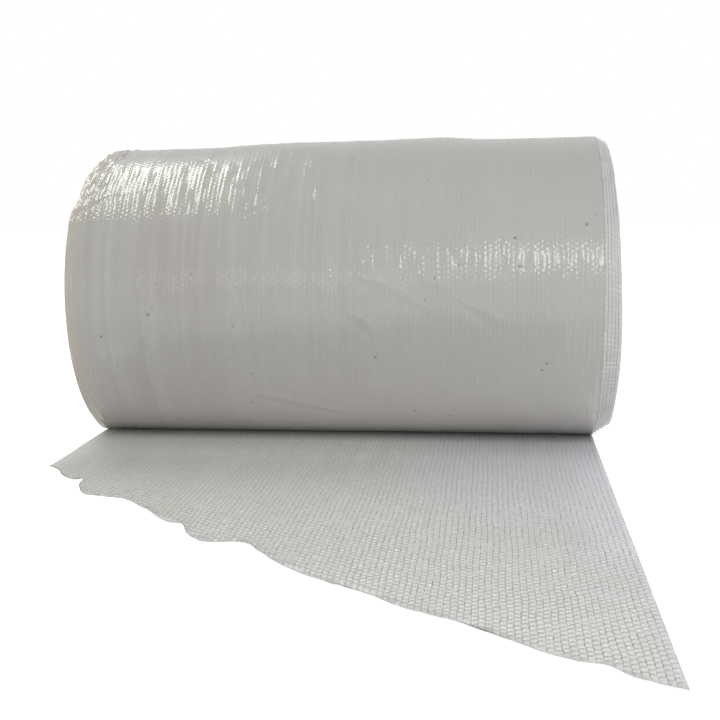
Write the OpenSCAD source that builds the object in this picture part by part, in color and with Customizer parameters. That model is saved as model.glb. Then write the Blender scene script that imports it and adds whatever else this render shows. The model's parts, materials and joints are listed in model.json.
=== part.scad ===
// Roll of bubble wrap lying on its side, with its free end run out over the floor.
// X runs along the roll, Y away from the free end, Z up. The origin is on the floor,
// below the middle of the roll's axis.

/* [Web] */
// Width of the bubble film
web_w = 1200; // [900:10:1500]
// Thickness of the film with its bubbles
web_t = 4; // [3:0.5:6]
// Thickness of the flat backing film under the bubbles
film_t = 1; // [0.5:0.1:2]
// Distance between the middles of neighbouring bubbles
bubble_pitch = 11.8; // [8:0.1:20]
// Slope of a bubble's side, measured across the film
bubble_slope = 1.5; // [0.5:0.1:2.5]

/* [Roll] */
// Radius of the roll at its right end
roll_r = 362; // [250:1:450]
// How much less the radius is at the left end, where the roll is wound tighter
left_loss = 12; // [0:1:20]
// Radius of the open eye that the winding shaft left
eye_r = 38; // [25:1:60]
// Depth of the flat spot that the roll has settled into
flat_drop = 8; // [2:1:15]

/* [Turns] */
// Number of outer turns that step out one by one
loose_turns = 5; // [2:1:6]
// How far each of those turns stands out sideways past the one around it
turn_step = 8.4; // [4:0.1:12]
// Number of turns that lie flush together in the rest of the winding
turns_in_band = 3; // [2:1:4]
// How far the bands stray sideways
band_stray = 3; // [1:0.5:4]

/* [Free end] */
// Distance from the roll's axis to the short left corner
short_side = 490; // [470:5:560]
// Distance from the roll's axis to the long right corner
long_side = 1565; // [1400:5:1800]

/* [Hidden] */
$fn = 36;

// Rough cut from the left corner to the right one. Each point is the share of the
// width from the left, then the share of the way from the short side to the long one.
CUT = [
    [0, 0], [0.025, 0.025], [0.045, 0.065], [0.075, 0.1], [0.092, 0.095], [0.1, 0.145],
    [0.125, 0.2], [0.15, 0.215], [0.183, 0.225], [0.21, 0.24], [0.25, 0.295],
    [0.305, 0.372], [0.335, 0.385], [0.354, 0.435], [0.375, 0.468], [0.395, 0.483],
    [0.45, 0.485], [0.485, 0.54], [0.53, 0.605], [0.59, 0.66], [0.625, 0.688],
    [0.67, 0.732], [0.7, 0.76], [0.76, 0.805], [0.81, 0.852], [0.875, 0.912],
    [0.925, 0.936], [0.95, 0.966], [1, 1]
];

// Height of the roll's axis above the floor, at the middle of its length
axis_z = roll_r - left_loss / 2 - flat_drop;
// The axis rises to the right, so that the tapered roll lies level on the floor
lean = atan(left_loss / web_w);
// Turns between the eye and the outside, and the steps that they make at the roll's ends
turns = floor((roll_r - eye_r) / web_t);
steps = loose_turns + floor((turns - loose_turns) / turns_in_band);
// Columns of bubbles, each staggered half a bubble against the next
column_gap = bubble_pitch * cos(30);
columns = floor(web_w / column_gap);
// Step by which the stray of the bands turns round, so that it never repeats
stray_angle = 137;
// Length by which the eye's cutter passes the roll's ends
cutter_spare = 50;

// Turns that lie outside the given step of the winding
function turns_outside(step) =
    step <= loose_turns ? step : loose_turns + (step - loose_turns) * turns_in_band;

// Outer radius of the given step, counted inwards from the outermost turn
function step_r(step) = roll_r - turns_outside(step) * web_t;

// How far the given step stands to the right of the outermost turn
function step_shift(step) =
    step <= loose_turns ? step * turn_step
    : loose_turns * turn_step + band_stray * (sin(step * stray_angle) - 1) / 2;

// Half section of the winding: radius first, then the place along the axis. It climbs
// one end from the axis to the outermost turn, crosses the outside and goes back in.
// Radii are less by the given amount.
function winding_section(less) =
    let (left = [for (i = [steps:-1:0]) each [
                     if (i < steps) [left_r(step_r(i + 1) - less), step_shift(i) - web_w / 2],
                     [left_r(step_r(i) - less), step_shift(i) - web_w / 2]]],
         right = [for (i = [0:steps]) each [
                      [step_r(i) - less, step_shift(i) + web_w / 2],
                      if (i < steps) [step_r(i + 1) - less, step_shift(i) + web_w / 2]]])
    concat([[0, step_shift(steps) - web_w / 2]], left, right, [[0, step_shift(steps) + web_w / 2]]);

// Radius at the left end of a turn that has radius r at the right end
function left_r(r) = r * (roll_r - left_loss) / roll_r;

// One half of the winding, on the side of the axis that Y points to
module half_winding(less) {
    rotate([0, 90, 0]) rotate_extrude(angle = 180) polygon(winding_section(less));
}

// Wound turns. The turns of the near half are centred half a turn higher and have half
// a turn less radius, so that each turn runs on into the next one under the roll.
module winding() {
    translate([0, 0, axis_z]) rotate([0, -lean, 0]) {
        half_winding(0);
        translate([0, 0, web_t / 2]) mirror([0, 1, 0]) half_winding(web_t / 2);
    }
}

// Cutter for the open eye along the whole roll
module eye() {
    reach = web_w / 2 + loose_turns * turn_step + cutter_spare;
    translate([-reach, 0, axis_z]) rotate([0, 90, 0]) cylinder(h = 2 * reach, r = eye_r);
}

// Cutter for all that lies below the floor
module below_floor() {
    translate([-web_w, -roll_r, -roll_r]) cube([2 * web_w, 2 * roll_r, roll_r]);
}

// Outline of the free end, seen from above
module free_outline() {
    cut = [for (p = CUT) [(p[0] - 0.5) * web_w, -short_side - p[1] * (long_side - short_side)]];
    polygon(concat([[-web_w / 2, 0]], cut, [[web_w / 2, 0]]));
}

// Section across the free end: backing film below, a ridge for each column of bubbles above
function ridge_section() =
    let (start = -columns * column_gap / 2)
    concat(
        [[-web_w / 2, 0], [-web_w / 2, film_t]],
        [for (i = [0:columns - 1]) let (x = start + i * column_gap) each [
            [x + bubble_slope / 2, film_t],
            [x + 1.5 * bubble_slope, web_t],
            [x + column_gap - 1.5 * bubble_slope, web_t],
            [x + column_gap - bubble_slope / 2, film_t]]],
        [[web_w / 2, film_t], [web_w / 2, 0]]);

// Free end of the film, bubbles up
module free_end() {
    intersection() {
        linear_extrude(web_t) free_outline();
        rotate([90, 0, 0]) linear_extrude(long_side) polygon(ridge_section());
    }
}

module bubble_wrap() {
    color([0.78, 0.78, 0.76]) {
        difference() {
            winding();
            eye();
            below_floor();
        }
        free_end();
    }
}

bubble_wrap();
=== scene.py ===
# Roll of bubble wrap lying on its side, with its rough-cut free end run out over the floor.
# All sizes are in metres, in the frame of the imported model.

import json
import math

import bpy
import numpy as np
from mathutils import Matrix, Vector
from mathutils.geometry import delaunay_2d_cdt


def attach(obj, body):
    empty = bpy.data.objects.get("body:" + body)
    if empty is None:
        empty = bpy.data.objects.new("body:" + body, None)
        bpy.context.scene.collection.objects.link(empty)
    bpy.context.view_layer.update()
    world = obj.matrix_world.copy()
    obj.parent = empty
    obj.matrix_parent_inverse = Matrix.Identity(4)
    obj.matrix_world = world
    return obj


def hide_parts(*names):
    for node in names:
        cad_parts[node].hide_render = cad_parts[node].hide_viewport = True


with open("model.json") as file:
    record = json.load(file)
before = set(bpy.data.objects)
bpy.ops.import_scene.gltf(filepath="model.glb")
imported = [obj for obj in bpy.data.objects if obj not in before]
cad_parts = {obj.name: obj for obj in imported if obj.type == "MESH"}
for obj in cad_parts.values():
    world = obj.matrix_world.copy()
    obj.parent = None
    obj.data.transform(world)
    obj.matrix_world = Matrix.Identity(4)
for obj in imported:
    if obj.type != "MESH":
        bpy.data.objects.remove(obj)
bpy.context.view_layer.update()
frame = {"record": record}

# The web: a flat backing film with staggered columns of bubbles on its inner side
WEB_W = 1.2
WEB_T = 0.004
FILM_T = 0.0004
DOME_H = WEB_T - FILM_T
BUBBLE_PITCH = 0.0118
COLUMN_GAP = BUBBLE_PITCH * math.cos(math.radians(30))
COLUMNS = int(WEB_W / COLUMN_GAP)
FIRST_COLUMN = -(COLUMNS - 1) / 2 * COLUMN_GAP

# The winding, which is thinner at its left end
ROLL_R = 0.362
LEFT_LOSS = 0.012
EYE = next(m for m in frame["record"]["mounts"] if m["name"] == "eye")
EYE_R = EYE["dims"]["r_mm"] / 1000
TURNS = (ROLL_R - EYE_R) / WEB_T
AROUND = 2 * math.pi * ROLL_R

# Flat spot that the roll has settled into: its height, how deep in the roll it still
# squeezes the turns, how far it presses into the floor, and how softly it ends
FLAT_DROP = 0.008
FLAT_DEPTH = 0.1
FLAT_SINK = 0.0002
FLAT_BLEND = 0.0007

# Places round the roll are in turns, counted from the floor up the front.

# Loose outer turns at the right end: how many they are, how far each steps out and over
# which part of a turn, and how far apart they stand. The changes of that are at a place
# round the roll, each with its width.
LOOSE_TURNS = 5
TURN_STEP = 0.0084
STEP_EASE = 0.04
SPREAD = 0.92
SPREAD_CHANGES = [(-0.27, 0.46, 0.13), (0.08, 0.19, 0.05)]

# Crushed corner at the left end: how far the turns' edges are pushed in and down, how far
# each reaches along the roll, how deep into it, and where the corner lies round the roll:
# a sharp fold, which makes a share of it, a slow rise, and its end
CRUSH_IN = 0.028
CRUSH_DOWN = 0.003
IN_REACH = 0.12
DOWN_REACH = 0.035
CRUSH_DEPTH = 0.03
CRUSH_FOLD = (0.342, 0.370)
CRUSH_RISE = (0.375, 0.47)
CRUSH_END = (0.56, 0.66)
FOLD_SHARE = 0.43

# Swell of the winding on top, at its place round the roll and with its width: it is fuller
# between two places along the roll, slim elsewhere, and slimmest at the right end
TOP_PLACE = 0.48
TOP_WIDTH = 0.14
FULL_HEIGHT = 0.0065
FULL_START = (-0.38, -0.12)
FULL_STOP = (0.24, 0.36)
SLIM = 0.0025
SLIM_RIGHT = 0.003
SLIM_RIGHT_START = (0.3, 0.6)

# Swell of the winding next to the floor, where it sags out
SAG_HEIGHT = 0.006
SAG_START = (0.015, 0.035)
SAG_STOP = (0.05, 0.10)

# Free end: the way from the axis to its two corners, and its rough cut from the left
# corner to the right one, as shares of the width and of the way between the corners
SHORT_SIDE = 0.49
LONG_SIDE = 1.565
CUT = [
    (0, 0), (0.025, 0.025), (0.045, 0.065), (0.075, 0.1), (0.092, 0.095), (0.1, 0.145),
    (0.125, 0.2), (0.15, 0.215), (0.183, 0.225), (0.21, 0.24), (0.25, 0.295),
    (0.305, 0.372), (0.335, 0.385), (0.354, 0.435), (0.375, 0.468), (0.395, 0.483),
    (0.45, 0.485), (0.485, 0.54), (0.53, 0.605), (0.59, 0.66), (0.625, 0.688),
    (0.67, 0.732), (0.7, 0.76), (0.76, 0.805), (0.81, 0.852), (0.875, 0.912),
    (0.925, 0.936), (0.95, 0.966), (1, 1),
]

# Bubbles of the free end, which lie further apart along a column than on the roll, as the
# photo shows, and the seam under the roll at which the free end's mesh begins
END_STEP = 0.0156
FIRST_ROW = -0.052
SEAM = -0.05

# The photo's viewpoint, with its angles in radians and its lens and sensor in millimetres
VIEW_PLACE = (0.3588, -2.9755, 0.619)
VIEW_YAW, VIEW_PITCH, VIEW_ROLL = -0.10948, -0.15039, -0.01086
VIEW_LENS = 60.36
SENSOR = 36
PHOTO_SIZE = 720

# What the photo shows on the roll, by pixel: bubbles that have burst, and creases from one
# pixel to another with their depth and width
BURST = [
    (352, 159), (427, 180), (190, 276), (156, 282), (370, 246), (457, 262), (519, 264),
    (434, 281), (425, 298), (375, 356), (253, 376), (235, 345), (251, 405), (253, 418),
    (548, 367), (543, 370), (415, 412), (451, 417), (579, 411), (596, 215), (587, 224),
    (515, 235), (152, 306), (147, 316), (233, 325), (103, 337),
]
CREASES = [
    ((246, 212), (341, 174), 0.0009, 0.005), ((364, 281), (410, 303), 0.0012, 0.014),
    ((334, 303), (370, 332), 0.0013, 0.014), ((436, 288), (501, 326), 0.0012, 0.014),
    ((425, 224), (455, 254), 0.0010, 0.014), ((265, 398), (341, 414), 0.0010, 0.012),
    ((371, 331), (374, 358), 0.0006, 0.010), ((70, 214), (105, 196), 0.0016, 0.008),
    ((105, 197), (161, 187), 0.0008, 0.006), ((190, 163), (207, 159), 0.0008, 0.006),
    ((207, 159), (224, 165), 0.0008, 0.006),
]


# Small tools

NOISE_CELLS = 256


def smooth_step(low, high, value):
    t = np.clip((value - low) / (high - low), 0, 1)
    return t * t * (3 - 2 * t)


def band(start, stop, value):
    """1 between two ranges of the value, 0 outside them, and smooth within them."""
    return smooth_step(*start, value) * (1 - smooth_step(*stop, value))


def hump(value, middle, width):
    return np.exp(-(((value - middle) / width) ** 2))


def soft_max(a, b, blend):
    return 0.5 * (a + b + np.sqrt((a - b) ** 2 + blend**2))


def noise(u, v, cell_u, cell_v, seed):
    """Smooth noise from -1 to 1 over u and v, with cells of the given sizes."""
    table = np.random.default_rng(seed).uniform(-1, 1, (NOISE_CELLS, NOISE_CELLS))
    gu = np.asarray(u) / cell_u
    gv = np.asarray(v) / cell_v
    iu = np.floor(gu).astype(int)
    iv = np.floor(gv).astype(int)
    fu = smooth_step(0, 1, gu - iu)
    fv = smooth_step(0, 1, gv - iv)
    a = table[iu % NOISE_CELLS, iv % NOISE_CELLS]
    b = table[(iu + 1) % NOISE_CELLS, iv % NOISE_CELLS]
    c = table[iu % NOISE_CELLS, (iv + 1) % NOISE_CELLS]
    d = table[(iu + 1) % NOISE_CELLS, (iv + 1) % NOISE_CELLS]
    return (a * (1 - fu) + b * fu) * (1 - fv) + (c * (1 - fu) + d * fu) * fv


def waves(u, v, layers):
    """Sum of noises, each with its height, the sizes of its cells, and its seed."""
    return sum(height * noise(u, v, *cells_and_seed) for height, *cells_and_seed in layers)


def mesh_piece(name, points, faces, material, **values):
    """A smooth-shaded piece from arrays of points and faces, with a named value per point."""
    mesh = bpy.data.meshes.new(name)
    corners = faces.shape[1]
    mesh.vertices.add(len(points))
    mesh.vertices.foreach_set("co", np.asarray(points, dtype=np.float32).ravel())
    mesh.loops.add(faces.size)
    mesh.loops.foreach_set("vertex_index", faces.astype(np.int32).ravel())
    mesh.polygons.add(len(faces))
    mesh.polygons.foreach_set("loop_start", np.arange(0, faces.size, corners, dtype=np.int32))
    mesh.polygons.foreach_set("use_smooth", np.ones(len(faces), dtype=bool))
    mesh.update(calc_edges=True)
    mesh.validate()
    for key, data in values.items():
        layer = mesh.attributes.new(key, "FLOAT", "POINT")
        layer.data.foreach_set("value", np.asarray(data, dtype=np.float32).ravel())
    mesh.materials.append(material)
    piece = bpy.data.objects.new(name, mesh)
    bpy.context.scene.collection.objects.link(piece)
    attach(piece, "root")
    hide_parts("bubble_wrap")
    return piece


def grid_faces(rows, columns):
    """Quads of a grid of points that are stored row by row."""
    start = (np.arange(rows - 1)[:, None] * columns + np.arange(columns - 1)[None, :]).ravel()
    return np.stack([start, start + 1, start + columns + 1, start + columns], axis=1)


# The winding's shape. wind counts turns inwards, from where the web first lies under the
# roll, up the back, over the top and down the front.

def radius_at(x):
    return ROLL_R - LEFT_LOSS * (0.5 - x / WEB_W)


def wound_point(x, wind, lift=0.0, within=0.0):
    """Point on the outside of the winding. lift moves the winding outwards there, and within
    moves the point in its own turn."""
    scale = radius_at(x) / ROLL_R
    depth = WEB_T * wind * scale - within
    r = radius_at(x) - depth + lift
    angle = 2 * math.pi * wind
    y = r * np.sin(angle)
    z = radius_at(x) - FLAT_DROP - r * np.cos(angle)
    squeezed = np.minimum(depth, FLAT_DEPTH) * (1 - FLAT_DROP / FLAT_DEPTH)
    beyond = np.maximum(depth - FLAT_DEPTH, 0)
    z = soft_max(z, squeezed + beyond - FLAT_SINK, FLAT_BLEND)
    return np.stack(np.broadcast_arrays(x, y, z), axis=-1)


def up_front(wind):
    """Place round the roll, counted from the floor up the front."""
    return 1 - np.mod(wind, 1)


def crushed(wind):
    """How strongly the left corner is crushed at this place round the roll, from 0 to 1."""
    place = up_front(wind)
    fold = FOLD_SHARE * smooth_step(*CRUSH_FOLD, place)
    rise = (1 - FOLD_SHARE) * smooth_step(*CRUSH_RISE, place)
    return (fold + rise) * (1 - smooth_step(*CRUSH_END, place))


def spread(wind):
    """How far apart the loose turns stand, which is less over the top of the roll."""
    place = up_front(wind)
    return SPREAD + sum(change * hump(place, *where) for change, *where in SPREAD_CHANGES)


def step_out(wind):
    """How far a turn stands to the right of the outermost one."""
    turn = np.floor(wind + STEP_EASE)
    partly = smooth_step(-STEP_EASE, STEP_EASE, wind - turn)
    return TURN_STEP * spread(wind) * np.clip(turn - 1 + partly, 0, LOOSE_TURNS)


def loose(wind):
    """1 for the loose turns that stick out beyond the outermost one, and 0 for the rest."""
    return band((0.9, 1.0), (LOOSE_TURNS, LOOSE_TURNS + 1), wind)


def swell(x, wind):
    """Height of the winding over its plain shape, on top and next to the floor."""
    place = up_front(wind)
    slim = SLIM + SLIM_RIGHT * smooth_step(*SLIM_RIGHT_START, x)
    top = FULL_HEIGHT * band(FULL_START, FULL_STOP, x) - slim
    return top * hump(place, TOP_PLACE, TOP_WIDTH) + SAG_HEIGHT * band(SAG_START, SAG_STOP, place)


# Outside of the roll: the flat film, drawn over its bubbles

# How far bubbles press through the film, and how far it sinks between them and over a
# burst one
DOME_PRESS = 0.00055
VALLEY_SINK = 0.0002
BURST_SINK = 0.0014
# Share of the bubbles on the back that have burst, and how dark burst ones are
BURST_SHARE = 0.002
BURST_DARK = (0.4, 0.85)
# Layers for waves(). The bubbles' plumpness, the film's unevenness by columns of bubbles and
# all over, and its streaks of colour by columns and all over
PLUMP_WAVES = [(0.5, 0.9, 0.06, 11)]
COLUMN_WAVES = [(0.00025, 0.9, 0.03, 12)]
FILM_WAVES = [(0.0010, 0.11, 0.16, 13), (0.0005, 0.035, 0.05, 14)]
COLUMN_STREAKS = [(1, 0.9, 0.5, 16)]
BROAD_STREAKS = [(0.7, 0.05, 0.6, 17)]
# Crumples of the crushed corner: how far from the left end they fade out, how much their
# ridges lean, the ridges' height with their noise, and the dents between them
CRUMPLE_STOP = (0.03, 0.13)
CRUMPLE_LEAN = 0.3
CRUMPLE_HEIGHT = 0.0030
CRUMPLE_NOISE = (0.021, 0.034, 15)
CRUMPLE_DENTS = [(0.0022, 0.009, 0.014, 18)]
# Where the film's looks change: how far from the left end its rim reaches, with painted light
# through the thin film, and round the roll the pale stretch low on the front, which is painted
# light, and the crevice at the floor, painted dark as its shadow
RIM_REACH = 0.04
LOW_START = (0.04, 0.11)
LOW_STOP = (0.02, 0.23)
CREVICE_STOP = (0.034, 0.052)
# Passes in which a pixel's place on the tapered roll is found
SEARCH_PASSES = 4


def sight_line(pixel):
    """Direction in which the photo's viewpoint sees a pixel."""
    ahead, right, up = view_axes()
    focal = VIEW_LENS / SENSOR * PHOTO_SIZE
    line = ahead * focal + right * (pixel[0] - PHOTO_SIZE / 2) - up * (pixel[1] - PHOTO_SIZE / 2)
    return line.normalized()


def spot_on_roll(pixel):
    """Where the photo shows a pixel of the roll: across it, and round it in turns."""
    line = sight_line(pixel)
    x = 0.0
    for _ in range(SEARCH_PASSES):
        r = radius_at(x)
        rise = VIEW_PLACE[2] - (r - FLAT_DROP)
        a = line.y**2 + line.z**2
        b = VIEW_PLACE[1] * line.y + rise * line.z
        c = VIEW_PLACE[1] ** 2 + rise**2 - r**2
        way = (-b - math.sqrt(b * b - a * c)) / a
        x = VIEW_PLACE[0] + way * line.x
    y = VIEW_PLACE[1] + way * line.y
    z = rise + way * line.z
    return x, math.atan2(y, -z) / (2 * math.pi) % 1


def creased(u, v):
    """Height of the film over the plain roll along its creases."""
    lift = np.zeros(np.broadcast(u, v).shape)
    for start, stop, depth, width in CREASES:
        (u0, w0), (u1, w1) = spot_on_roll(start), spot_on_roll(stop)
        run = np.array([u1 - u0, (w1 - w0) * AROUND])
        length = np.hypot(*run)
        along = ((u - u0) * run[0] + (v - w0 * AROUND) * run[1]) / length
        aside = ((u - u0) * run[1] - (v - w0 * AROUND) * run[0]) / length
        past = np.maximum(np.maximum(-along, along - length), 0)
        fade = np.exp(-((past / (2 * width)) ** 2))
        lift += depth * fade * (aside / width) * np.exp(0.5 - (aside / width) ** 2)
    return lift


def nearest_column(u):
    """Number of the column of bubbles that lies nearest to this place across the web."""
    return np.round((u - FIRST_COLUMN) / COLUMN_GAP)


def film_lift(u, wind):
    """How far the film stands out from the plain roll, apart from the bubbles under it."""
    v = wind * AROUND
    from_left = u + WEB_W / 2
    uneven = waves(nearest_column(u), v, COLUMN_WAVES) + waves(u, v, FILM_WAVES)
    crush = crushed(wind)
    crumple = crush * (1 - smooth_step(*CRUMPLE_STOP, from_left))
    ridges = 1 - 2 * np.abs(noise(u + CRUMPLE_LEAN * v, v, *CRUMPLE_NOISE))
    crumples = crumple * (CRUMPLE_HEIGHT * ridges + waves(u, v, CRUMPLE_DENTS))
    pushed_down = CRUSH_DOWN * crush * (1 - smooth_step(0.0, DOWN_REACH, from_left))
    return uneven + creased(u, v) + swell(u, wind) + crumples - pushed_down


def film_grid():
    """Triangle grid over the film on the roll, with a point on each bubble and two beside it.
    Gives each point's place across the web, its row, whether it is on a bubble, and the
    triangles. Points past the web's edges are drawn in to them."""
    rows = 2 * round(AROUND / BUBBLE_PITCH)
    gap = COLUMN_GAP * 2 / 3
    number = np.arange(-2, int(WEB_W / gap) + 2)[None, :]
    row = np.arange(rows + 1)[:, None]
    odd = row % 2 == 1
    u = np.clip(FIRST_COLUMN + gap * (number + 0.5 * odd), -WEB_W / 2, WEB_W / 2)
    on_bubble = np.where(odd, number % 3 == 1, number % 3 == 0)

    j = np.arange(rows)[:, None]
    a = j * number.size + np.arange(number.size - 1)[None, :]
    b = a + 1
    c = a + number.size
    d = c + 1
    even = (j % 2 == 0)[..., None]
    first_half = np.where(even, np.stack([a, b, c], -1), np.stack([a, b, d], -1))
    second_half = np.where(even, np.stack([b, d, c], -1), np.stack([a, d, c], -1))
    faces = np.concatenate([first_half.reshape(-1, 3), second_half.reshape(-1, 3)])
    return u, np.broadcast_to(row, u.shape), on_bubble, faces


def outside_film(material):
    u, row, on_bubble, faces = film_grid()
    wind = row / row.max()
    v = wind * AROUND
    from_left = u + WEB_W / 2
    place = up_front(wind)
    column = nearest_column(u)

    rng = np.random.default_rng(5)
    burst = (rng.random(u.shape) < BURST_SHARE) & on_bubble & (wind < 0.5)
    for pixel in BURST:
        spot_u, spot_wind = spot_on_roll(pixel)
        away = np.hypot(u - spot_u, v - spot_wind * AROUND)
        burst.ravel()[np.argmin(np.where(on_bubble, away, 1))] = True
    plump = 0.5 + waves(column, v, PLUMP_WAVES)
    lift = np.where(on_bubble, DOME_PRESS * plump, -VALLEY_SINK)
    lift = np.where(burst, -BURST_SINK, lift)

    x = u + CRUSH_IN * crushed(wind) * (1 - smooth_step(0.0, IN_REACH, from_left))
    points = wound_point(x, wind, lift + film_lift(u, wind)).reshape(-1, 3)
    return mesh_piece(
        "outside_film", points, faces, material,
        across=(u - FIRST_COLUMN) / COLUMN_GAP,
        around=row / 2,
        # rim: where painted light shines through the thin left end
        rim=1 - smooth_step(0.0, RIM_REACH, from_left),
        streak=waves(column, v, COLUMN_STREAKS) + waves(u, v, BROAD_STREAKS),
        burst=np.where(burst, rng.uniform(*BURST_DARK, u.shape), 0.0),
        # low: where painted light lies low on the front
        low=band(LOW_START, LOW_STOP, place),
        # crevice: where the painted shadow at the floor lies
        crevice=1 - smooth_step(*CREVICE_STOP, place))


# Roll's ends: the edge of every turn, in one long spiral

# Length of a stretch of the spiral, thickness and rounding of a turn's edge, how far the
# edge widens out of its groove, and the share of a bubble's column at which the web ends
EDGE_STRETCH = 0.011
EDGE_T = 0.0012
EDGE_ROUND = 0.0008
EDGE_FOOT = 0.0046
EDGE_COLUMN = 0.4
# How far edges stray sideways from place to place, and from turn to turn
NICK = 0.0008
STRAY = 0.0016
# Depth of the groove between two turns, how much it varies, and the edges' waves up and down
GROOVE = 0.0035
GROOVE_CHANGE = 0.001
EDGE_WAVE = 0.0004
# How far the loose turns rise over the top of the roll, with its place and width
LOOSE_RISE = 0.0025
LOOSE_TOP = (0.47, 0.12)
# How many places round a turn the nicks, the grooves and the waves have
NICKS_ROUND = 40
GROOVES_ROUND = 25
WAVES_ROUND = 30


def spiral():
    """Winds at even stretches along the turns' edges, from the outside in to the eye."""
    winds = [0.0]
    while winds[-1] < TURNS:
        r = ROLL_R - WEB_T * winds[-1]
        winds.append(winds[-1] + EDGE_STRETCH / (2 * math.pi * max(r, EYE_R)))
    return np.minimum(np.array(winds), TURNS)


def edge_reach(wind, side):
    """How far a turn's edge reaches out from the roll's middle. The outermost turn, which the
    film outside continues, has a plain edge."""
    nicks = NICK * noise(wind * NICKS_ROUND, wind, 1.0, 0.7, 21 + side)
    stray = STRAY * noise(wind, wind, 0.37, 1.0, 23 + side)
    ragged = (nicks + stray) * smooth_step(1, 2, wind)
    if side > 0:
        return WEB_W / 2 + step_out(wind) + ragged
    return WEB_W / 2 - np.maximum(step_out(wind), CRUSH_IN * crushed(wind)) + ragged


def lift_at_edge(wind, side):
    """Lift that a turn shares with the film outside, which is less deeper in."""
    depth = WEB_T * np.maximum(wind - 1, 0)
    return film_lift(side * WEB_W / 2, np.mod(wind, 1)) * np.exp(-depth / CRUSH_DEPTH)


def wound_edges(name, side, material):
    wind = spiral()
    own = edge_reach(wind, side)
    outer = np.where(wind >= 1, edge_reach(np.maximum(wind - 1, 0), side), own + 1)
    inner = np.where(wind <= TURNS - 1, edge_reach(wind + 1, side), own)
    groove = GROOVE + GROOVE_CHANGE * noise(wind * GROOVES_ROUND, wind, 1.0, 1.0, 27 + side)
    outer_floor = np.minimum(own, outer) - groove
    inner_floor = np.minimum(own, inner) - groove
    rise = EDGE_WAVE * noise(wind * WAVES_ROUND, wind, 1.0, 1.0, 29 + side)
    if side > 0:
        rise = rise + LOOSE_RISE * loose(wind) * hump(up_front(wind), *LOOSE_TOP)

    # Section of an edge from the outside in: how far it reaches out, its place within its
    # turn, and how near it is to the tip, which sets the painted shade down in the grooves and
    # the painted highlight on the tips
    profile = [
        (outer_floor, np.zeros(len(wind)), 0.0),
        (np.minimum(outer_floor + EDGE_FOOT, own - EDGE_T), rise, 0.6),
        (own - EDGE_ROUND, rise, 0.7),
        (own, rise - EDGE_T / 2, 1.0),
        (own - EDGE_ROUND, rise - EDGE_T, 0.7),
        (inner_floor, rise - 2 * EDGE_T, 0.0),
    ]
    outermost = wind < 1
    rows = []
    for out, within, tip in profile:
        within = np.where(outermost, np.minimum(within, 0) - VALLEY_SINK, within)
        rows.append((out, wound_point(side * out, wind, lift_at_edge(wind, side), within), tip))
    next_turn = np.minimum(wind + 1, TURNS + 1)
    floor_points = wound_point(side * inner_floor, next_turn, lift_at_edge(next_turn, side))
    rows.append((inner_floor, floor_points, 0.0))

    points = np.stack([row_points for _, row_points, _ in rows], axis=1)
    shape = points.shape[:2]
    faces = grid_faces(*shape)
    # At the left end every edge looks as those deep in the right end do
    deep = 1
    if side > 0:
        faces = faces[:, ::-1]
        deep = smooth_step(LOOSE_TURNS + 0.5, LOOSE_TURNS + 1.5, wind)[:, None]
    return mesh_piece(
        name, points.reshape(-1, 3), faces, material,
        tip=np.broadcast_to([tip for _, _, tip in rows], shape),
        across=np.stack([EDGE_COLUMN - (own - out) / COLUMN_GAP for out, _, _ in rows], axis=1),
        around=np.broadcast_to((wind * AROUND / BUBBLE_PITCH)[:, None], shape),
        deep=np.broadcast_to(deep, shape))


# Eye: the inside of the innermost turn, with its bubbles towards the axis

# Bubbles round the eye, how far they press through, and how pale the lining is, as a share
# of the way from the turns' edges to their tips
EYE_BUBBLES = 20
EYE_PRESS = 0.0012
EYE_TIP = 0.3


def eye_lining(material):
    shift = LOOSE_TURNS * TURN_STEP
    x = np.linspace(-WEB_W / 2 + shift, WEB_W / 2 + shift, 2 * COLUMNS + 1)[:, None]
    angle = np.linspace(0, 2 * math.pi, 2 * EYE_BUBBLES + 1)[None, :]
    bump = np.cos(x / COLUMN_GAP * math.pi) * np.cos(angle * EYE_BUBBLES)
    r = EYE_R * radius_at(x) / ROLL_R - EYE_PRESS * np.maximum(bump, 0)
    y = r * np.sin(angle)
    z = radius_at(x) - FLAT_DROP - r * np.cos(angle)
    points = np.stack(np.broadcast_arrays(x, y, z), axis=-1).reshape(-1, 3)
    faces = grid_faces(x.size, angle.size)
    ones = np.ones(len(points))
    return mesh_piece("eye_lining", points, faces, material, tip=EYE_TIP * ones,
                      across=0 * ones, around=0 * ones, deep=ones)


# Free end

# Points on a stretch of the cut between two of its corners, and the cut's waviness along
# the line, as layers for waves()
CUT_PARTS = 6
CUT_WAVES = [(0.0024, 1.3, 1.0, 31), (0.0018, 4.3, 1.0, 32)]
# Low waves in the film, how far from the axis they begin, and the curl along the cut: its
# height, its reach, how much of the cut it takes up, and its noise
WAVE_HEIGHT = 0.0010
LOW_WAVES = [(WAVE_HEIGHT, 0.14, 0.17, 33)]
WAVE_START = (0.1, 0.35)
CURL_HEIGHT = 0.003
CURL_REACH = 0.018
CURL_SHARE = 0.4
CURL_NOISE = (0.07, 0.07, 34)
# How far bubbles stray from the plain lattice, across and along the film, as layers for
# waves(), and how far from the outline they are free to
STRAY_ACROSS = [(0.0010, 0.021, 0.031, 35), (0.0018, 0.06, 0.09, 36)]
STRAY_ALONG = [(0.0019, 0.019, 0.027, 37)]
STRAY_START = 0.02
# Heights of bubbles, as shares of the full height: plump ones, the few slack ones, those
# next to the roll, which reach the full share between two ways from the axis, those at the
# cut, and the shoulders of a dome
PLUMP = (0.7, 1.0)
SLACK = (0.3, 0.6)
SLACK_SHARE = 0.01
PRESSED = 0.35
PRESSED_STOP = (0.25, 1.0)
CUT_LOSS = 0.5
CUT_LOSS_REACH = 0.004
SHOULDER = (0.78, 0.96)
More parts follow.
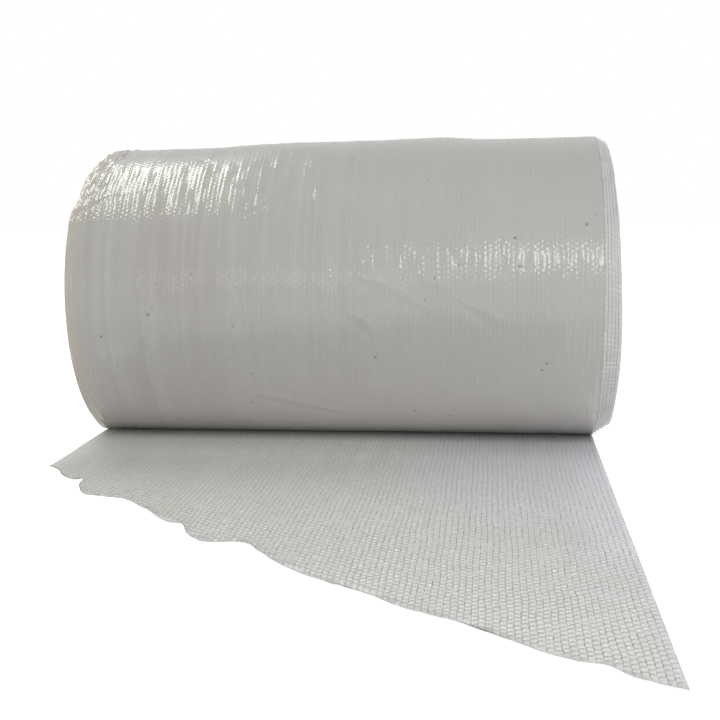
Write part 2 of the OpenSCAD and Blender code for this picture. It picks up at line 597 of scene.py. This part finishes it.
# Place of a dome's shoulders, as a share of the way to the corners of its cell
SHOULDER_PLACE = 0.62
CELL_CORNERS = 6
# Spacing of points on the outline, and the room that bubbles and their other points leave
# to it
OUTLINE_STEP = 0.012
BUBBLE_ROOM = 0.0022
POINT_ROOM = 0.0009
# Underside: where its grid of points starts and stops along X and Y, how far apart the
# points are, and the room that they leave to the outline
UNDER_X = (-0.58, 0.59)
UNDER_Y = (-1.54, SEAM - 0.01)
UNDER_STEP = 0.03
UNDER_ROOM = 0.006
# How far from the cut its rim still shows, which is painted darker along the cut as shade and
# in places as the shadow under its lifted edge
CUT_RIM_REACH = 0.006
# Points that lie closer together than this are one
SAME_POINT = 0.001


def cut_line():
    """The rough cut as a smooth line through its points, with a slight scissor waviness."""
    way = LONG_SIDE - SHORT_SIDE
    corners = np.array([((a - 0.5) * WEB_W, -SHORT_SIDE - b * way) for a, b in CUT])
    padded = np.vstack([2 * corners[0] - corners[1], corners, 2 * corners[-1] - corners[-2]])
    line = []
    for k in range(1, len(padded) - 2):
        p0, p1, p2, p3 = padded[k - 1:k + 3]
        for t in np.linspace(0, 1, CUT_PARTS + 1)[:-1]:
            curve = 2 * p1 + (p2 - p0) * t + (2 * p0 - 5 * p1 + 4 * p2 - p3) * t**2
            line.append(0.5 * (curve + (3 * p1 - p0 - 3 * p2 + p3) * t**3))
    line.append(corners[-1])
    line = np.array(line)
    run = np.arange(len(line))
    wave = waves(run, run * 0, CUT_WAVES)
    wave[0] = 0
    wave[-1] = 0
    line[:, 1] += wave
    line[:, 0] = np.clip(line[:, 0], -WEB_W / 2, WEB_W / 2)
    return line


def distance_to(line, points):
    """Distance from each point to the nearest stretch of the line."""
    best = np.full(len(points), np.inf)
    for a, b in zip(line[:-1], line[1:]):
        run = b - a
        t = np.clip(((points - a) @ run) / (run @ run), 0, 1)
        best = np.minimum(best, np.hypot(*(points - a - t[:, None] * run).T))
    return best


def before_cut(cut, points):
    """True for points between the roll's axis and the cut."""
    crossings = np.zeros(len(points), dtype=int)
    loop = np.vstack([cut, [WEB_W / 2, 0], [-WEB_W / 2, 0], cut[:1]])
    for (x0, y0), (x1, y1) in zip(loop[:-1], loop[1:]):
        spans = (y0 > points[:, 1]) != (y1 > points[:, 1])
        where = x0 + (points[:, 1] - y0) * (x1 - x0) / (y1 - y0 if y1 != y0 else 1)
        crossings += spans & (points[:, 0] < where)
    return crossings % 2 == 1


def end_lift(points, to_cut):
    """Height of the free end's film over the floor: low waves, and an edge that curls up."""
    x = points[:, 0]
    y = points[:, 1]
    away = smooth_step(*WAVE_START, -y)
    height = WAVE_HEIGHT + waves(x, y, LOW_WAVES)
    curl = np.maximum(0.0, CURL_SHARE + noise(x + y, y, *CURL_NOISE))
    return away * (height + CURL_HEIGHT * np.exp(-to_cut / CURL_REACH) * curl)


def strayed(points, to_edge):
    """Points of the free end off their plain lattice, which the outline holds in place."""
    x = points[:, 0]
    y = points[:, 1]
    free = smooth_step(0.0, STRAY_START, to_edge)[:, None]
    aside = waves(x, y, STRAY_ACROSS)
    along = waves(x, y, STRAY_ALONG)
    return points + free * np.stack([aside, along], axis=1)


def end_outline(cut):
    """Outline of the free end's mesh: the cut, the straight sides and the seam."""
    corners = np.vstack([[-WEB_W / 2, SEAM], cut, [WEB_W / 2, SEAM]])
    outline = []
    for start, stop in zip(corners, np.roll(corners, -1, axis=0)):
        parts = max(1, int(np.hypot(*(stop - start)) / OUTLINE_STEP))
        for t in np.arange(parts) / parts:
            outline.append(start + t * (stop - start))
    return np.array(outline)


def bubble_middles(cut, closed):
    """Middles of the bubbles that the cut and the outline leave."""
    rows = int(LONG_SIDE / END_STEP) + 1
    column, row = np.meshgrid(np.arange(COLUMNS), np.arange(rows), indexing="ij")
    x = FIRST_COLUMN + column.ravel() * COLUMN_GAP
    y = FIRST_ROW - (row + 0.5 * (column % 2)).ravel() * END_STEP
    middles = np.stack([x, y], axis=1)
    middles = middles[before_cut(cut, middles)]
    return middles[distance_to(closed, middles) > BUBBLE_ROOM]


def plumpness(middles, to_cut, rng):
    """Height of each bubble, as a share of the full height."""
    plump = rng.uniform(*PLUMP, len(middles))
    slack = rng.uniform(*SLACK, len(middles))
    plump = np.where(rng.random(len(middles)) < SLACK_SHARE, slack, plump)
    plump = plump * (PRESSED + (1 - PRESSED) * smooth_step(*PRESSED_STOP, -middles[:, 1]))
    return np.where(to_cut < CUT_LOSS_REACH, CUT_LOSS * plump, plump)


def dome_lattice(cut, closed):
    """Points of all the domes with their heights, and the edges that their valleys keep.
    Each bubble has a cell with six corners, a top point and six shoulders."""
    middles = bubble_middles(cut, closed)
    rng = np.random.default_rng(8)
    plump = plumpness(middles, distance_to(cut, middles), rng)
    tops = [middles]
    heights = [DOME_H * plump]
    corners = []
    for k in range(CELL_CORNERS):
        angle = math.radians(360 / CELL_CORNERS * k)
        corner = np.array([COLUMN_GAP * 2 / 3 * math.cos(angle),
                           END_STEP / math.sqrt(3) * math.sin(angle)])
        tops.append(middles + SHOULDER_PLACE * corner)
        heights.append(DOME_H * plump * rng.uniform(*SHOULDER, len(middles)))
        corners.append(middles + corner)
    corners = np.concatenate(corners)
    keys = np.round(corners / SAME_POINT).astype(int)
    _, chosen, member = np.unique(keys, axis=0, return_index=True, return_inverse=True)

    tops = np.concatenate(tops)
    points = np.vstack([tops, corners[chosen]])
    heights = np.concatenate(heights + [np.zeros(len(chosen))])
    inside = before_cut(cut, points) & (points[:, 1] < SEAM)
    inside &= distance_to(closed, points) > POINT_ROOM
    number = np.full(len(points), -1)
    number[inside] = np.arange(inside.sum())

    valley = number[len(tops) + member.reshape(CELL_CORNERS, -1)]
    following = np.roll(valley, -1, axis=0)
    kept = (valley >= 0) & (following >= 0)
    edges = np.sort(np.stack([valley[kept], following[kept]], axis=1), axis=1)
    return points[inside], heights[inside], np.unique(edges, axis=0)


def under_points(cut, closed):
    """Coarse grid of points for the underside."""
    x = np.arange(*UNDER_X, UNDER_STEP)
    y = np.arange(*UNDER_Y, UNDER_STEP)
    spots = np.stack(np.meshgrid(x, y), axis=-1).reshape(-1, 2)
    spots = spots[before_cut(cut, spots)]
    return spots[distance_to(closed, spots) > UNDER_ROOM]


def triangulated(points, outline, edges):
    """Triangles between the points and within the outline, with the given edges kept. Gives
    all places, the triangles and, for each place, the number that it had."""
    places = [Vector(p) for p in np.vstack([points, outline])]
    loop = list(range(len(points), len(places)))
    result = delaunay_2d_cdt(places, edges, [loop], 1, 1e-7)
    flat = np.array([p[:] for p in result[0]])
    triangles = np.array([face for face in result[2] if len(face) == 3])
    source = np.array([numbers[0] if numbers else -1 for numbers in result[3]])
    return flat, triangles, source


def wall_faces(outline, top_source, first_top, bottom_source, first_bottom):
    """Triangles between the outlines of the film's upper side and its underside."""
    shift = len(top_source)
    top_of = {s - first_top: k for k, s in enumerate(top_source) if s >= first_top}
    bottom_of = {s - first_bottom: shift + k for k, s in enumerate(bottom_source)
                 if s >= first_bottom}
    walls = []
    for k in range(len(outline)):
        m = (k + 1) % len(outline)
        if all(n in top_of and n in bottom_of for n in (k, m)):
            walls.append((top_of[k], bottom_of[k], bottom_of[m]))
            walls.append((top_of[k], bottom_of[m], top_of[m]))
    return np.array(walls)


def free_end(material):
    cut = cut_line()
    outline = end_outline(cut)
    closed = np.vstack([outline, outline[:1]])

    domes, heights, edges = dome_lattice(cut, closed)
    top, top_faces, top_source = triangulated(domes, outline, edges.tolist())
    # The outline has no height, and nor has a point that the triangulation adds
    height = np.append(heights, np.zeros(len(outline) + 1))[top_source]
    top_z = end_lift(top, distance_to(cut, top)) + FILM_T + height
    upper = np.column_stack([strayed(top, distance_to(closed, top)), top_z])

    spots = under_points(cut, closed)
    bottom, bottom_faces, bottom_source = triangulated(spots, outline, [])
    lower = np.column_stack([bottom, end_lift(bottom, distance_to(cut, bottom))])

    walls = wall_faces(outline, top_source, len(domes), bottom_source, len(spots))
    points = np.vstack([upper, lower])
    faces = np.vstack([top_faces, bottom_faces[:, ::-1] + len(upper), walls])
    plain = np.vstack([top, bottom])
    return mesh_piece(
        "free_end", points, faces, material,
        dome=np.concatenate([height / DOME_H, np.zeros(len(lower))]),
        across=(plain[:, 0] - FIRST_COLUMN) / COLUMN_GAP,
        around=(FIRST_ROW - plain[:, 1]) / END_STEP,
        # rim: where painted shade along the cut and the painted shadow under it lie
        rim=np.exp(-distance_to(cut, plain) / CUT_RIM_REACH))


# Materials

# Colours of the film on the roll. Several are painted light and shade: darker on the left
# as painted shade, the light falling from the right, with a warmer tint there; painted shade
# in the valleys; painted light low on the front and through the thin left rim; and a painted
# shadow in the crevice at the floor
FILM_LEFT_SHADED = (0.3, 0.283, 0.258)
FILM_RIGHT_LIT = (0.40, 0.395, 0.378)
FILM_CLOUDS = (0.37, 0.362, 0.335)
FILM_STREAKS = (0.385, 0.378, 0.355)
FILM_VALLEY_SHADE = (0.3, 0.29, 0.27)
FILM_LOW_LIGHT = (0.74, 0.71, 0.685)
FILM_CREVICE_SHADOW = (0.08, 0.08, 0.08)
FILM_LEFT_RIM_LIGHT = (0.42, 0.385, 0.33)
FILM_BURST = (0.06, 0.06, 0.055)
# Colours of the turns' edges, with the loose turns first and those deeper in last. Each is
# darker down in the grooves and paler at the tip: painted shade in the grooves and a painted
# highlight on the tips
EDGE_DARK = (0.3, 0.297, 0.288)
EDGE_PALE = (0.345, 0.342, 0.332)
EDGE_TIP = (0.56, 0.555, 0.54)
EDGE_DOTS_AND_GLINTS = (0.8, 0.8, 0.78)
DEEP_EDGE = (0.52, 0.52, 0.51)
DEEP_TIP = (0.74, 0.74, 0.73)
# Colours of the free end, in large patches, among them painted shade beyond the roll, painted
# cooler light on the right, and painted light next to the roll with a painted shadow in the
# crevice under it
END_DARK = (0.51, 0.51, 0.495)
END_PALE = (0.56, 0.56, 0.55)
END_STAINS = (0.5, 0.485, 0.4)
END_STREAKS = (0.4, 0.37, 0.34)
END_SHADE = (0.4, 0.395, 0.38)
END_COOL_LIGHT = (0.6, 0.61, 0.67)
END_RIGHT_EDGE = (0.65, 0.66, 0.71)
END_LIGHT_BY_ROLL = (0.85, 0.845, 0.83)
END_CREVICE_SHADOW = (0.04, 0.04, 0.04)
END_FOLD = (0.66, 0.645, 0.55)
# Colours of the free end's bubbles and of its cut: painted highlights on the domes' far rims,
# painted light on their feet, painted shade in the gaps between them, in lines between the
# columns and along the cut, a painted shadow under the cut's lifted edge, and painted glints
DOME_RIM_HIGHLIGHTS = (0.9, 0.9, 0.89)
DOME_FEET_LIGHT = (0.8, 0.8, 0.79)
DOME_GAP_SHADE = (0.34, 0.34, 0.33)
COLUMN_LINE_SHADE = (0.32, 0.32, 0.31)
CUT_RIM_SHADE = (0.4, 0.39, 0.375)
CUT_EDGE_SHADOW = (0.07, 0.05, 0.04)
PAINTED_SPARKLES = (0.97, 0.97, 0.97)
# How much bubbles stand out of their column, on the roll and on the free end
WOUND_BUBBLES = 1.4
END_BUBBLES = 1.3


class Shading:
    """Nodes of a material or of the world, with a colour that is painted layer by layer."""

    def __init__(self, owner, output="ShaderNodeOutputMaterial"):
        owner.use_nodes = True
        self.nodes = owner.node_tree.nodes
        self.links = owner.node_tree.links
        self.nodes.clear()
        self.output = self.nodes.new(output)
        self.color = None

    def value(self, name):
        """Value that the mesh has at each of its points."""
        node = self.nodes.new("ShaderNodeAttribute")
        node.attribute_name = name
        return node.outputs["Fac"]

    def place(self):
        """Place on the piece, as outputs X, Y and Z."""
        where = self.nodes.new("ShaderNodeTexCoord")
        parts = self.nodes.new("ShaderNodeSeparateXYZ")
        self.links.new(where.outputs["Object"], parts.inputs["Vector"])
        return parts.outputs

    def ramp(self, source, start, stop, to=(0, 1)):
        """Value that goes evenly between two numbers while the source goes from start to stop."""
        node = self.nodes.new("ShaderNodeMapRange")
        for name, number in zip(("From Min", "From Max", "To Min", "To Max"), (start, stop, *to)):
            node.inputs[name].default_value = number
        self.links.new(source, node.inputs["Value"])
        return node.outputs["Result"]

    def mixed(self, share, first, second):
        node = self.nodes.new("ShaderNodeMix")
        node.data_type = "RGBA"
        self.links.new(share, node.inputs["Factor"])
        for socket, value in ((node.inputs["A"], first), (node.inputs["B"], second)):
            if isinstance(value, tuple):
                socket.default_value = (*value, 1)
            else:
                self.links.new(value, socket)
        return node.outputs["Result"]

    def paint(self, share, color):
        """Lays a colour over the colour so far, as strongly as the share says."""
        self.color = self.mixed(share, self.color, color)

    def noise(self, scale, detail, stretch=(1, 1, 1)):
        where = self.nodes.new("ShaderNodeTexCoord")
        mapping = self.nodes.new("ShaderNodeMapping")
        mapping.inputs["Scale"].default_value = stretch
        self.links.new(where.outputs["Object"], mapping.inputs["Vector"])
        return self.noise_at(mapping.outputs["Vector"], scale, detail)

    def noise_at(self, place, scale, detail):
        texture = self.nodes.new("ShaderNodeTexNoise")
        texture.inputs["Scale"].default_value = scale
        texture.inputs["Detail"].default_value = detail
        self.links.new(place, texture.inputs["Vector"])
        return texture.outputs["Fac"]

    def operate(self, operation, first, second=0.0):
        node = self.nodes.new("ShaderNodeMath")
        node.operation = operation
        for socket, value in zip(node.inputs, (first, second)):
            if isinstance(value, (int, float)):
                socket.default_value = value
            else:
                self.links.new(value, socket)
        return node.outputs["Value"]

    def product(self, first, *others):
        for other in others:
            first = self.operate("MULTIPLY", first, other)
        return first

    def total(self, first, *others):
        for other in others:
            first = self.operate("ADD", first, other)
        return first

    def wave(self, phase, turns):
        """Cosine of a phase, with the given number of whole turns for each unit."""
        return self.operate("COSINE", self.product(phase, 2 * math.pi * turns))

    def bumped(self, height, depth):
        node = self.nodes.new("ShaderNodeBump")
        node.inputs["Strength"].default_value = 1
        node.inputs["Distance"].default_value = depth
        self.links.new(height, node.inputs["Height"])
        return node.outputs["Normal"]

    def finish_film(self, relief, depth, gloss_depth):
        """Milky film under a clear gloss, with the relief deeper in the gloss than in the film."""
        shader = self.nodes.new("ShaderNodeBsdfPrincipled")
        shader.inputs["Roughness"].default_value = 0.5
        shader.inputs["Specular IOR Level"].default_value = 0.2
        shader.inputs["IOR"].default_value = 1.5
        shader.inputs["Coat Weight"].default_value = 0.6
        shader.inputs["Coat Roughness"].default_value = 0.11
        self.links.new(self.color, shader.inputs["Base Color"])
        self.links.new(self.bumped(relief, depth), shader.inputs["Normal"])
        self.links.new(self.bumped(relief, gloss_depth), shader.inputs["Coat Normal"])
        self.links.new(shader.outputs["BSDF"], self.output.inputs["Surface"])

    def seen_directly(self):
        """1 for rays that come straight, or by a mirror or glass, from the camera, and 0
        otherwise."""
        path = self.nodes.new("ShaderNodeLightPath")
        seen = path.outputs["Is Camera Ray"]
        for name in ("Is Glossy Ray", "Is Transmission Ray"):
            seen = self.operate("MAXIMUM", seen, path.outputs[name])
        return seen


def lattice(film, bubbles):
    """Height from 0 to 1 over staggered columns of bubbles, rounded on top and sharp in the
    valleys. bubbles says how much they stand out of their column."""
    across = film.value("across")
    by_bubble = film.product(film.wave(across, 0.5), film.wave(film.value("around"), 1), bubbles)
    both = film.total(film.wave(across, 1), by_bubble)
    lowest = -1 - bubbles**2 / 8
    return film.operate("POWER", film.ramp(both, lowest, 1 + bubbles), 0.5)


def column_noise(film, spacing, to):
    """Noise that differs from column to column, the more so the wider the spacing, and
    changes slowly along each."""
    place = film.nodes.new("ShaderNodeCombineXYZ")
    column = film.operate("ROUND", film.value("across"))
    film.links.new(film.product(column, spacing), place.inputs["X"])
    film.links.new(film.product(film.value("around"), 0.11), place.inputs["Y"])
    return film.ramp(film.noise_at(place.outputs["Vector"], 1, 2), 0.3, 0.7, to)


def wound_relief(film):
    """Bubbles that press through the film, more in some columns than in others, and a lean
    of each column to one side."""
    across = film.value("across")
    swelling = film.product(lattice(film, WOUND_BUBBLES), column_noise(film, 7.3, (0.3, 1.05)))
    aside = film.operate("SUBTRACT", across, film.operate("ROUND", across))
    lean = film.product(column_noise(film, 0.6, (-1.8, 2.2)), aside)
    fine = film.product(film.noise(260, 3, (1, 0.4, 0.4)), 0.2)
    return film.total(swelling, lean, fine)


def outside_material():
    material = bpy.data.materials.new("wound_film")
    film = Shading(material)
    across = film.ramp(film.value("across"), 0, COLUMNS)
    # Painted shade: darker and warmer on the left, lighter on the right, where the light comes
    # from
    film.color = film.mixed(across, FILM_LEFT_SHADED, FILM_RIGHT_LIT)
    film.paint(film.ramp(film.noise(3, 3), 0.3, 0.7, (0, 0.6)), FILM_CLOUDS)
    film.paint(film.ramp(film.value("streak"), -1.5, 1.5), FILM_STREAKS)
    # Painted shade in the valleys between the columns of bubbles, in patches
    valleys = film.ramp(lattice(film, WOUND_BUBBLES), 0, 0.6, (0.3, 0))
    patches = film.ramp(film.noise(8, 3), 0.35, 0.65, (0.1, 1))
    film.paint(film.product(valleys, patches), FILM_VALLEY_SHADE)
    # Painted light low on the front of the roll, less of it on the left
    by_side = film.ramp(across, 0, 0.5, (0.45, 0.75))
    film.paint(film.product(film.value("low"), by_side), FILM_LOW_LIGHT)
    # Painted shadow in the crevice at the floor
    film.paint(film.ramp(film.value("crevice"), 0, 1, (0, 0.8)), FILM_CREVICE_SHADOW)
    # Painted light through the thin rim at the left end, creamier
    film.paint(film.value("rim"), FILM_LEFT_RIM_LIGHT)
    film.paint(film.ramp(film.value("burst"), 0.2, 0.9), FILM_BURST)
    film.finish_film(wound_relief(film), depth=0.0003, gloss_depth=0.0006)
    return material


def edge_material():
    material = bpy.data.materials.new("turn_edges")
    film = Shading(material)
    film.color = film.mixed(film.noise(9, 3), EDGE_DARK, EDGE_PALE)
    # Painted shade down in the grooves and a painted highlight on the tips
    film.paint(film.value("tip"), EDGE_TIP)
    # Paler dots on the bubbles: partly their look, partly painted glints
    dots = film.ramp(lattice(film, WOUND_BUBBLES), 0.6, 1, (0, 0.5))
    patches = film.ramp(film.noise(30, 3), 0.42, 0.62)
    film.paint(film.product(dots, patches), EDGE_DOTS_AND_GLINTS)
    # The same painted shade and highlight, paler, for the turns deeper in
    film.paint(film.value("deep"), film.mixed(film.value("tip"), DEEP_EDGE, DEEP_TIP))
    film.finish_film(wound_relief(film), depth=0.0006, gloss_depth=0.0007)
    return material


def tint_free_end(film):
    """Large patches of the free end: clouds, and over them stains on the left, streaks
    and painted shade beyond the roll, painted cooler light on the right, a pale right edge,
    painted light and a painted shadow in the crevice at the roll, and the creamy fold along the
    left edge."""
    x = film.place()["X"]
    y = film.place()["Y"]
    film.color = film.mixed(film.noise(5, 3), END_DARK, END_PALE)
    stains = film.ramp(film.noise(4, 2), 0.46, 0.64, (0, 0.9))
    film.paint(film.product(stains, film.ramp(x, 0.1, -0.3)), END_STAINS)
    streaks = film.ramp(film.noise(26, 2, (1, 0.05, 1)), 0.5, 0.7, (0, 0.45))
    film.paint(film.product(streaks, film.ramp(y, -0.75, -0.4)), END_STREAKS)
    shade = film.ramp(y, -0.5, -0.85, (0.45, 0))
    film.paint(film.product(shade, film.ramp(y, -0.32, -0.5, (0.1, 1))), END_SHADE)
    # Painted cooler light on the right
    cool = film.ramp(x, 0.1, 0.55)
    film.paint(film.product(cool, film.ramp(y, -0.95, -0.5, (0, 0.7))), END_COOL_LIGHT)
    right_edge = film.ramp(x, 0.5, 0.59, (0, 0.8))
    film.paint(film.product(right_edge, film.ramp(y, -1.15, -1.0)), END_RIGHT_EDGE)
    # Painted light on the free end next to the roll, less on the right
    by_roll = film.ramp(y, -0.42, -0.16, (0, 0.75))
    film.paint(film.product(by_roll, film.ramp(x, 0.1, 0.45, (1, 0.1))), END_LIGHT_BY_ROLL)
    # Painted shadow in the crevice under the roll
    film.paint(film.ramp(y, -0.2, -0.08, (0, 0.85)), END_CREVICE_SHADOW)
    film.paint(film.ramp(x, -0.59, -0.555, (0.6, 0)), END_FOLD)


def tint_bubbles(film, domes):
    """Bubbles of the free end, plainer towards the roll: painted highlights on the rims of their
    far side, painted light on their feet, painted shade in the gaps between them, and painted
    shade in lines between the columns."""
    across = film.value("across")
    near = film.ramp(film.place()["Y"], -0.3, -0.75, (0.15, 1))
    # Painted highlights on the far rims of the domes, in patches
    off_rim = film.operate("ABSOLUTE", film.operate("SUBTRACT", domes, 0.6))
    rims = film.ramp(off_rim, 0, 0.16, (1, 0))
    shifted = film.operate("SUBTRACT", film.value("around"), 0.25)
    far_side = film.product(film.wave(shifted, 1), film.wave(across, 0.5))
    far_side = film.ramp(far_side, 0.1, -0.7)
    patches = film.ramp(film.noise(60, 2), 0.35, 0.65, (0.2, 0.8))
    film.paint(film.product(rims, near, far_side, patches), DOME_RIM_HIGHLIGHTS)
    # Painted light on the domes' feet, against the shade in the valleys
    feet = film.ramp(film.value("dome"), 0, 0.85, (0.6, 0))
    film.paint(film.product(feet, near), DOME_FEET_LIGHT)
    # Painted shade in the gaps between the domes, in strokes
    gaps = film.ramp(domes, 0.45, 0.3)
    between = film.ramp(film.wave(across, 1), -0.2, -0.7)
    strokes = film.ramp(film.noise(110, 2), 0.45, 0.65, (0.05, 1))
    film.paint(film.product(gaps, near, between, strokes), DOME_GAP_SHADE)
    # Painted shade in broken lines between the columns
    lines = film.ramp(film.wave(across, 1), -0.7, -1)
    broken = film.ramp(film.noise(60, 2, (1, 0.3, 1)), 0.35, 0.65, (0.08, 0.5))
    film.paint(film.product(lines, broken), COLUMN_LINE_SHADE)


def free_end_material():
    material = bpy.data.materials.new("bubble_side")
    film = Shading(material)
    domes = lattice(film, END_BUBBLES)
    tint_free_end(film)
    tint_bubbles(film, domes)
    # Painted shade along the cut
    film.paint(film.value("rim"), CUT_RIM_SHADE)
    # Painted shadow, in places, under the cut's lifted edge
    edge_shadow = film.ramp(film.value("rim"), 0.7, 0.95)
    film.paint(film.product(edge_shadow, film.ramp(film.noise(5, 2), 0.52, 0.6, (0, 0.9))), CUT_EDGE_SHADOW)
    # Painted glints: tiny bright sparkles
    film.paint(film.ramp(film.noise(330, 1), 0.69, 0.74), PAINTED_SPARKLES)
    fine = film.product(film.noise(350, 4), 0.35)
    film.finish_film(film.total(domes, fine), depth=0.0004, gloss_depth=0.0012)
    return material


# Studio: floor, lamps and the photo's viewpoint

# Half the floor's length, how far it lies below the roll, its colour, and its own glow where
# the camera sees it
FLOOR_REACH = 12
FLOOR_GAP = 0.0005
FLOOR_COLOR = (0.8, 0.8, 0.8, 1)
FLOOR_GLOW = 0.7
WHITE = (1, 1, 1, 1)
# Strength of the world as a light, and as the camera sees it
WORLD_LIGHT = 0.66
WORLD_SEEN = 1.0
# Distance up to which the camera sees
VIEW_REACH = 50


def floor():
    mesh = bpy.data.meshes.new("floor")
    corners = [(-1, -1), (1, -1), (1, 1), (-1, 1)]
    mesh.from_pydata([(x * FLOOR_REACH, y * FLOOR_REACH, 0) for x, y in corners], [],
                     [(0, 1, 2, 3)])
    plane = bpy.data.objects.new("floor", mesh)
    bpy.context.scene.collection.objects.link(plane)
    plane.location.z = -FLOOR_GAP
    material = bpy.data.materials.new("floor")
    shading = Shading(material)
    diffuse = shading.nodes.new("ShaderNodeBsdfDiffuse")
    diffuse.inputs["Color"].default_value = FLOOR_COLOR
    glow = shading.nodes.new("ShaderNodeEmission")
    glow.inputs["Color"].default_value = WHITE
    strength = shading.ramp(shading.seen_directly(), 0, 1, (0, FLOOR_GLOW))
    shading.links.new(strength, glow.inputs["Strength"])
    both = shading.nodes.new("ShaderNodeAddShader")
    shading.links.new(diffuse.outputs["BSDF"], both.inputs[0])
    shading.links.new(glow.outputs["Emission"], both.inputs[1])
    shading.links.new(both.outputs["Shader"], shading.output.inputs["Surface"])
    mesh.materials.append(material)


def area_lamp(name, place, aim, size, power, soft=True, mirrored=True, color=(1, 1, 1)):
    """A lamp that lights surfaces softly, is mirrored in them, or does both."""
    data = bpy.data.lights.new(name, "AREA")
    data.shape = "RECTANGLE"
    data.size, data.size_y = size
    data.energy = power
    data.color = color
    lamp = bpy.data.objects.new(name, data)
    bpy.context.scene.collection.objects.link(lamp)
    lamp.location = place
    lamp.rotation_euler = (Vector(aim) - Vector(place)).to_track_quat("-Z", "Y").to_euler()
    lamp.visible_camera = False
    lamp.visible_diffuse = soft
    lamp.visible_glossy = mirrored


def lights():
    area_lamp("window", place=(-1.26, -0.05, 2.8), aim=(-1.38, -0.6, 0.6), size=(0.4, 2.4),
              power=38, soft=False, color=(0.98, 1, 0.9))
    area_lamp("back_window", place=(-1.2, 1.7, 2.8), aim=(-1.2, 0, 0.6), size=(0.8, 0.8),
              power=2, soft=False)
    area_lamp("glint", place=(0.66, -2.5, 1.5), aim=(0.66, 0, 0.5), size=(0.3, 0.75),
              power=9.5, soft=False, color=(1, 0.98, 0.92))
    area_lamp("low_glint", place=(-0.5, -2.5, 0.87), aim=(-0.5, 0, 0.5), size=(1.2, 0.3),
              power=2.2, soft=False)
    area_lamp("sky", place=(-0.2, -0.6, 2.9), aim=(0, 0, 0.6), size=(0.8, 0.8),
              power=7, mirrored=False)
    area_lamp("room", place=(0.8, -3.7, 1.1), aim=(0.1, 0, 0.3), size=(3.0, 0.6),
              power=57, mirrored=False)
    world = bpy.data.worlds.new("studio")
    bpy.context.scene.world = world
    shading = Shading(world, "ShaderNodeOutputWorld")
    background = shading.nodes.new("ShaderNodeBackground")
    background.inputs["Color"].default_value = WHITE
    strength = shading.ramp(shading.seen_directly(), 0, 1, (WORLD_LIGHT, WORLD_SEEN))
    shading.links.new(strength, background.inputs["Strength"])
    shading.links.new(background.outputs["Background"], shading.output.inputs["Surface"])


def view_axes():
    """Unit vectors ahead, to the right and up, as the photo's viewpoint has them."""
    ahead = Vector((math.sin(VIEW_YAW) * math.cos(VIEW_PITCH),
                    math.cos(VIEW_YAW) * math.cos(VIEW_PITCH), math.sin(VIEW_PITCH)))
    level = Vector((math.cos(VIEW_YAW), -math.sin(VIEW_YAW), 0))
    above = level.cross(ahead)
    right = math.cos(VIEW_ROLL) * level + math.sin(VIEW_ROLL) * above
    up = -math.sin(VIEW_ROLL) * level + math.cos(VIEW_ROLL) * above
    return ahead, right, up


def camera():
    ahead, right, up = view_axes()
    data = bpy.data.cameras.new("camera")
    data.sensor_width = SENSOR
    data.lens = VIEW_LENS
    data.clip_end = VIEW_REACH
    view = bpy.data.objects.new("camera", data)
    bpy.context.scene.collection.objects.link(view)
    view.matrix_world = Matrix.Translation(VIEW_PLACE) @ Matrix(
        [(right.x, up.x, -ahead.x), (right.y, up.y, -ahead.y), (right.z, up.z, -ahead.z)]
    ).to_4x4()
    bpy.context.scene.camera = view


camera()
lights()
floor()
wound_film = outside_material()
turn_edges = edge_material()
outside_film(wound_film)
wound_edges("right_edges", 1, turn_edges)
wound_edges("left_edges", -1, turn_edges)
eye_lining(turn_edges)
free_end(free_end_material())
bpy.context.scene.view_settings.view_transform = "Standard"
